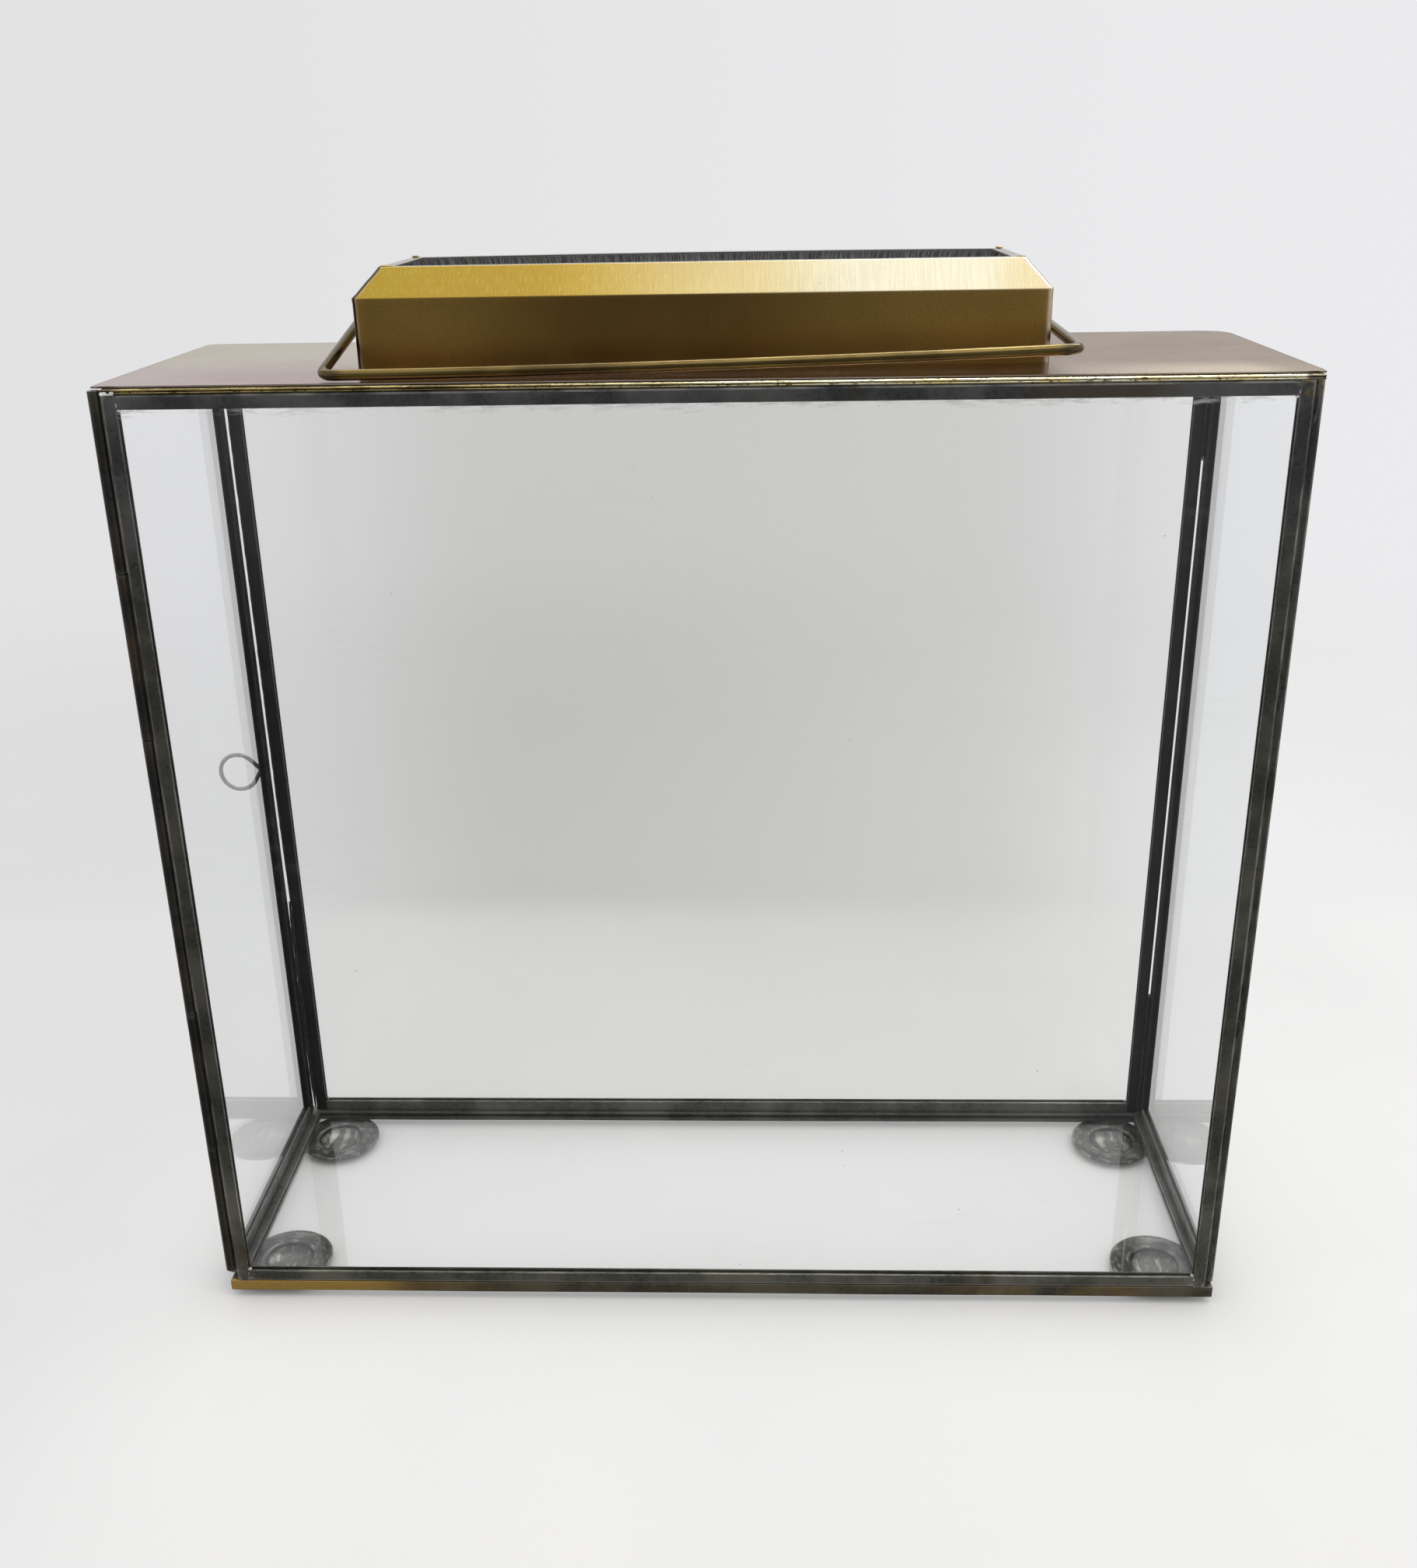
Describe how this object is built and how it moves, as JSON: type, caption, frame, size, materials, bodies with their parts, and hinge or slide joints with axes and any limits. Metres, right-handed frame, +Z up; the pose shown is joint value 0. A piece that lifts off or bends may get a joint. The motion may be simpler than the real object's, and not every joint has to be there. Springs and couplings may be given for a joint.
{
  "type": "glass display cloche",
  "caption": "Rectangular glazed case on pressed feet with a hinged end door, ring pull, open brass vent box and wire bail handle, for covering or displaying plants.",
  "frame": {"origin": "on the surface it stands on, under the middle of the overall box, pull ring included", "axes": "+X along the long front from the hinged door towards the fixed end, +Y from the front to the back, +Z up"},
  "size_m": [0.4792, 0.146, 0.4576],
  "materials": {
    "came": "folded brass came under a dark satin patina, edges worn",
    "base_came": "dark patina rubbed through to brass along the front",
    "glass": "clear float glass with faint smudges",
    "bright_brass": "ridged brass strip with bright worn edges",
    "lid_sheet": "satin grey-brown patina on sheet",
    "brushed_brass": "upright brushed brass",
    "gold_solder": "rough solder, brass tinted",
    "dark_brass": "dark brass wire, polished along the top",
    "hinge_tube": "dark patina with brown patches",
    "hinge_wire": "dark drawn wire",
    "pewter": "tinned pressed sheet, dull grey",
    "solder": "darkened solder beads"
  },
  "bodies": {
    "case": {"front_stile_left": "came", "front_stile_right": "came", "front_rail_top": "came", "front_rail_bottom": "came", "front_pane": "glass", "back_stile_left": "came", "back_stile_right": "came", "back_rail_top": "came", "back_rail_bottom": "came", "back_pane": "glass", "right_stile_front": "came", "right_stile_back": "came", "right_rail_top": "came", "right_rail_bottom": "came", "right_pane": "glass", "base_rail_front": "base_came", "base_rail_back": "base_came", "base_rail_left": "base_came", "base_rail_right": "base_came", "base_pane": "glass", "lid_strip_front": "bright_brass", "lid_strip_back": "bright_brass", "lid_strip_right": "bright_brass", "lid_plate": "lid_sheet", "vent_front": "brushed_brass", "vent_back": "brushed_brass", "vent_left_end": "brushed_brass", "vent_right_end": "brushed_brass", "vent_solder": "gold_solder", "frame_knuckle_upper": "hinge_tube", "frame_knuckle_lower": "hinge_tube", "hinge_pin": "hinge_wire", "corner_solder": "solder", "foot_front_left": "pewter", "foot_front_right": "pewter", "foot_back_left": "pewter", "foot_back_right": "pewter"},
    "door": {"door_stile_front": "came", "door_stile_back": "came", "door_rail_top": "came", "door_rail_bottom": "came", "door_pane": "glass", "door_knuckle_top": "hinge_tube", "door_knuckle_middle": "hinge_tube", "door_knuckle_bottom": "hinge_tube", "pull_ring": "pewter"},
    "handle": {"bail_handle": "dark_brass"}
  },
  "joints": [
    {"name": "door_hinge", "type": "hinge", "parent": "case", "child": "door", "pos_m": [-0.21598, -0.0707, 0.2], "axis": [0, 0, 1], "range_deg": [0, 170]},
    {"name": "handle_pivot", "type": "hinge", "parent": "case", "child": "handle", "pos_m": [0.01002, 0, 0.43215], "axis": [-0.9998, 0, 0.0204], "range_deg": [0, 188]}
  ]
}
